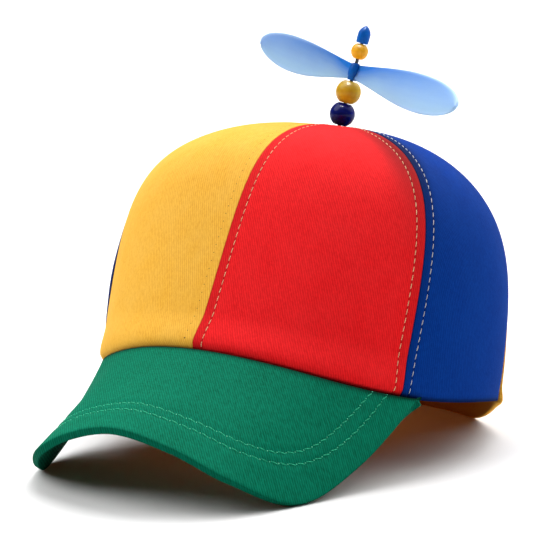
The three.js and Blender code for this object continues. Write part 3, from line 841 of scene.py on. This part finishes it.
def peak_piece():
    """The stiff peak in its cloth cover, with a squared edge and two stitched rows."""
    along = np.linspace(0, 1, PEAK_STEPS + 1)
    edge = peak_edge(along)
    length = np.linalg.norm(edge - peak_surface(along, 0 * along), axis=1)
    nose_share = np.minimum(PEAK_NOSE / length, PEAK_NOSE_SHARE)
    reaches = np.linspace(0, 1, PEAK_REACHES + 1)[:, None] * (1 - nose_share)
    middle = np.stack([peak_surface(along, reach) for reach in reaches])
    normals = -grid_normals(middle)
    half = PEAK_THICKNESS / 2
    dip = np.zeros(middle.shape[:2])
    for knots in PEAK_ROWS:
        away = (reaches - peak_row(knots, along)) * length
        dip += PEAK_ROW_DIP * bump(away, 0, PEAK_ROW_WIDTH)
    top = middle + normals * (half - dip)[..., None]
    under = middle - normals * half
    nose = []
    for turn in np.linspace(math.pi / 2, -math.pi / 2, PEAK_NOSE_STEPS + 1)[1:-1]:
        out = math.cos(turn) ** PEAK_NOSE_SQUARENESS
        lift = math.copysign(abs(math.sin(turn)) ** PEAK_NOSE_SQUARENESS, turn) - PEAK_NOSE_DROOP * out
        nose.append(middle[-1] + normals[-1] * half * lift + (edge - middle[-1]) * out)
    loop = np.concatenate([top, nose, under[::-1]])
    loop[..., 2] = np.maximum(loop[..., 2], TABLE_CLEARANCE)
    rows, columns = loop.shape[:2]
    faces = [face[::-1] for face in shell_faces(rows, columns)]
    cover = new_piece("peak_cover", loop.reshape(-1, 3), faces, "cap", [CLOTHS["green"]])
    forward = -loop[..., 1] - PEAK_WEAVE_SLOPE * loop[..., 2]
    weave = np.stack([loop[..., 0], forward, 0 * loop[..., 0]], axis=-1)
    add_attribute(cover, "weave", weave)
    shade = np.zeros_like(loop)
    shade[:len(top)] = ROOT_SHADE * bump(reaches * length, 0, ROOT_SHADE_WIDTH)[..., None]
    past_top = np.arange(1, rows - len(top) + 1)
    shade[len(top):] = LIP_SHADE * smooth_step(past_top / LIP_SHADE_ROWS)[:, None, None]
    add_attribute(cover, "shade", shade)
    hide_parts("peak")
    rows_sewn = []
    for knots in PEAK_ROWS:
        fine = np.linspace(0.5 - knots[-1][0] / 2, 0.5 + knots[-1][0] / 2, PEAK_ROW_POINTS)
        reach = np.maximum(peak_row(knots, fine), 0)
        path = peak_surface(fine, reach)
        sideways = peak_surface(fine + SMALL_STEP, reach) - path
        ups = np.cross(sideways, peak_surface(fine, reach + SMALL_STEP) - path)
        ups *= np.sign(ups[:, 2:3]) / np.linalg.norm(ups, axis=1, keepdims=True)
        rows_sewn.append((path + ups * (half - PEAK_ROW_DIP), ups))
    sewn_rows("stitches_peak", rows_sewn, PEAK_STITCH, "cap", GREEN_THREAD, GREEN_KNOT)


# Stack

def on_stack(points, height=0.0):
    """Puts points given about the spindle into the frame."""
    return stack_base + (np.asarray(points) + [0, 0, height]) @ stack_turn.T


def turned_mesh(profile, closed):
    """Turns radius and height pairs round the spindle."""
    turn = np.arange(STACK_SIDES) * 2 * math.pi / STACK_SIDES
    rings = np.array([[(r * math.cos(t), r * math.sin(t), h) for t in turn] for r, h in profile])
    faces = grid_faces(len(rings), STACK_SIDES, closed=True)
    if closed:
        last = (len(rings) - 1) * STACK_SIDES
        for k in range(STACK_SIDES):
            after = (k + 1) % STACK_SIDES
            faces.append((last + k, last + after, after, k))
    return rings.reshape(-1, 3), faces


def weld(piece, sharp):
    """Joins the points that a turned form has on its axis, and keeps real corners sharp."""
    form = bmesh.new()
    form.from_mesh(piece.data)
    bmesh.ops.remove_doubles(form, verts=form.verts, dist=WELD_DISTANCE)
    bmesh.ops.recalc_face_normals(form, faces=form.faces)
    form.to_mesh(piece.data)
    form.free()
    piece.data.set_sharp_from_angle(angle=sharp)


def bead_piece(bead, material):
    """A round bead with softly broken edges at its bore."""
    end = math.asin(bead["half_length"] / bead["radius"])
    latitudes = np.linspace(-end, end, BEAD_RINGS)
    ball = [(bead["radius"] * math.cos(a), bead["radius"] * math.sin(a)) for a in latitudes]
    lip = bead["half_length"] * BEAD_LIP
    mouth = BORE_RADIUS + BORE_FLARE
    low_end = [(BORE_RADIUS, -lip + BORE_FLARE_DEPTH), (mouth, -lip)]
    high_end = [(mouth, lip), (BORE_RADIUS, lip - BORE_FLARE_DEPTH)]
    points, faces = turned_mesh(low_end + ball + high_end, closed=True)
    placed = on_stack(points, bead["height"])
    piece = new_piece("lacquered_bead_" + bead["name"], placed, faces, "cap", [material])
    weld(piece, BEAD_CORNER)
    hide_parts("bead_" + bead["name"])


def tip_piece(material):
    """The pointed stop at the end of the spindle."""
    points, faces = turned_mesh([(r * MM, h * MM) for r, h in TIP_PROFILE], closed=False)
    piece = new_piece("pointed_tip", on_stack(points, TIP_BASE), faces, "cap", [material])
    weld(piece, TIP_CORNER)
    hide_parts("tip")


def blade_chord(share):
    """Width of a blade at a share of its length."""
    if share < BLADE_WIDEST:
        swell = math.sin((share / BLADE_WIDEST) ** BLADE_SWELL * math.pi / 2)
        return BLADE_ROOT_CHORD + (BLADE_CHORD - BLADE_ROOT_CHORD) * swell
    closing = (share - BLADE_WIDEST) / (1 - BLADE_WIDEST)
    return BLADE_CHORD * math.sqrt(max(1 - closing ** BLADE_BLUNTNESS, 0))


def blade_mesh(bend):
    """One blade along +X and its colour and painted shade: a thin cambered leaf with a fuller rim, twisted
    and bent.
    """
    turn = np.arange(BLADE_SIDES) * 2 * math.pi / BLADE_SIDES
    rings, tints_and_shades = [], []
    for station in range(BLADE_STATIONS + 1):
        way = station / BLADE_STATIONS * math.pi / 2
        distance = BLADE_START + (BLADE_LENGTH - BLADE_START) * math.sin(way)
        share = distance / BLADE_LENGTH
        pitch = BLADE_ROOT_PITCH + (BLADE_TIP_PITCH - BLADE_ROOT_PITCH) * share
        chord = np.array([0, math.cos(pitch), math.sin(pitch)])
        face = np.array([0, -math.sin(pitch), math.cos(pitch)])
        width = max(blade_chord(share) / 2, BLADE_LEAST_WIDTH)
        across = np.cos(turn)
        thin = min(BLADE_THICKNESS / 2, width)
        body = thin * np.sign(np.sin(turn)) * np.abs(np.sin(turn)) ** BLADE_SQUARENESS
        past_root = smooth_step(share / BLADE_ROOT_SHARE)
        hollow = BLADE_CAMBER * (1 - across ** 2) * smooth_step(share / BLADE_HOLLOW_SHARE)
        rim = bump(np.abs(across), BLADE_RIM_PLACE, BLADE_RIM_WIDTH) * BLADE_RIM * past_root
        lift = body * (1 + rim) * BLADE_FULLNESS + hollow
        middle = [distance, 0, -bend * share ** 2]
        rings.append(middle + across[:, None] * width * chord + lift[:, None] * face)
        # Painted shade: deeper towards the upper edge and at the hub, paler towards the tip
        deep = np.clip(TINT_AND_SHADE_MIDDLE + SHADE_ACROSS_BLADE * across, 0, 1) * (1 - SHADE_FADE_TO_TIP * share)
        deep = deep + SHADE_AT_HUB * (1 - past_root)
        pale = smooth_step((share - PALE_EDGE_START) / PALE_EDGE_SHARE)
        edge = bump((1 - np.abs(across)) * width, 0, PALE_EDGE_WIDTH) * pale
        tints_and_shades.append(np.stack([np.clip(deep, 0, 1), edge, np.full_like(deep, share)], axis=-1))
    return np.array(rings).reshape(-1, 3), np.array(tints_and_shades).reshape(-1, 3)


def propeller_piece(material, hub_material):
    """Two blades and the hub, one moulding."""
    points, faces, tints_and_shades, kinds, count = [], [], [], [], 0
    for turn, bend in zip((BLADE_TURN, BLADE_TURN + math.pi), BLADE_BENDS):
        blade, tint_and_shade = blade_mesh(bend)
        points.append(blade @ turn_z(turn).T)
        tints_and_shades.append(tint_and_shade)
        made = grid_faces(BLADE_STATIONS + 1, BLADE_SIDES, closed=True)
        made += [tuple(range(BLADE_SIDES))[::-1]]
        last = BLADE_STATIONS * BLADE_SIDES
        made += [tuple(range(last, last + BLADE_SIDES))]
        faces += [tuple(k + count for k in face) for face in made]
        kinds += [0] * len(made)
        count += len(blade)
    hub, hub_faces = turned_mesh([(r * MM, h * MM) for r, h in HUB_PROFILE], closed=True)
    points.append(hub)
    tints_and_shades.append(np.tile([1.0, 0, 0], (len(hub), 1)))
    faces += [tuple(k + count for k in face) for face in hub_faces]
    kinds += [1] * len(hub_faces)
    placed = on_stack(np.concatenate(points), HUB_HEIGHT)
    piece = new_piece("propeller_moulding", placed, faces, "propeller", [material, hub_material], kinds)
    add_attribute(piece, "blade", np.concatenate(tints_and_shades))
    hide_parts("propeller")


# Stage

def add_camera():
    """The camera at the photograph's viewing angle."""
    back = Vector((
        math.sin(CAMERA_AZIMUTH) * math.cos(CAMERA_ELEVATION),
        -math.cos(CAMERA_AZIMUTH) * math.cos(CAMERA_ELEVATION),
        math.sin(CAMERA_ELEVATION),
    ))
    camera = bpy.data.objects.new("camera", bpy.data.cameras.new("camera"))
    bpy.context.scene.collection.objects.link(camera)
    target = Vector(crown_shift) + Vector((0, 0, CAMERA_TARGET_HEIGHT))
    camera.location = target + back * CAMERA_DISTANCE
    camera.rotation_euler = (-back).to_track_quat("-Z", "Y").to_euler()
    camera.data.lens = CAMERA_LENS
    camera.data.sensor_width = CAMERA_SENSOR
    camera.data.shift_x, camera.data.shift_y = CAMERA_SHIFT
    camera.data.clip_start, camera.data.clip_end = CAMERA_CLIP
    bpy.context.scene.camera = camera


def add_light(name, kind, towards, energy, place=SUN_PLACE, **settings):
    """A light that shines along a direction. It makes no difference where a sun stands."""
    data = bpy.data.lights.new(name, kind)
    data.energy = energy
    for setting, value in settings.items():
        setattr(data, setting, value)
    light = bpy.data.objects.new(name, data)
    light.location = place
    light.rotation_euler = Vector(towards).to_track_quat("-Z", "Y").to_euler()
    bpy.context.scene.collection.objects.link(light)
    return light


def add_stage():
    """The floor, the lights and the white room."""
    half = FLOOR_HALF_SIZE
    corners = [(-half, -half, 0), (half, -half, 0), (half, half, 0), (-half, half, 0)]
    mesh = bpy.data.meshes.new("floor")
    mesh.from_pydata(corners, [], [(0, 1, 2, 3)])
    mesh.materials.append(floor_material())
    floor = bpy.data.objects.new("floor", mesh)
    bpy.context.scene.collection.objects.link(floor)
    for light in SOFT_LIGHTS:
        add_light(light["name"], "SUN", light["towards"], light["strength"], angle=light["angle"])
    down = (0, 0, -1)
    softbox = add_light("softbox", "AREA", down, GLINT_POWER, GLINT_PLACE, shape="SQUARE", size=GLINT_SIZE)
    softbox.visible_diffuse = False
    glow_place = Vector(crown_shift) + Vector(GLOW_PLACE)
    add_light("glow_through_cloth", "POINT", down, GLOW_POWER, glow_place, color=GLOW_COLOUR,
              shadow_soft_size=GLOW_RADIUS)
    world = bpy.data.worlds.new("studio")
    world.use_nodes = True
    background = world.node_tree.nodes["Background"]
    background.inputs["Color"].default_value = (1, 1, 1, 1)
    background.inputs["Strength"].default_value = ROOM_LIGHT
    bpy.context.scene.world = world
    bpy.context.scene.view_settings.view_transform = "Standard"


add_camera()
add_stage()
peak_piece()
for seed, panel in enumerate(PANELS):
    panel_piece(panel, seed)
wire = frame["nodes"]["spindle"].data.materials
wire.clear()
wire.append(wire_material())
for bead in BEADS:
    bead_piece(bead, plastic_material(bead["name"] + "_lacquer", **LACQUERS[bead["name"]]))
blue_plastic = plastic_material("blue_moulding", **BLUE_MOULDING)
tip_piece(blue_plastic)
propeller_piece(blade_material(), blue_plastic)
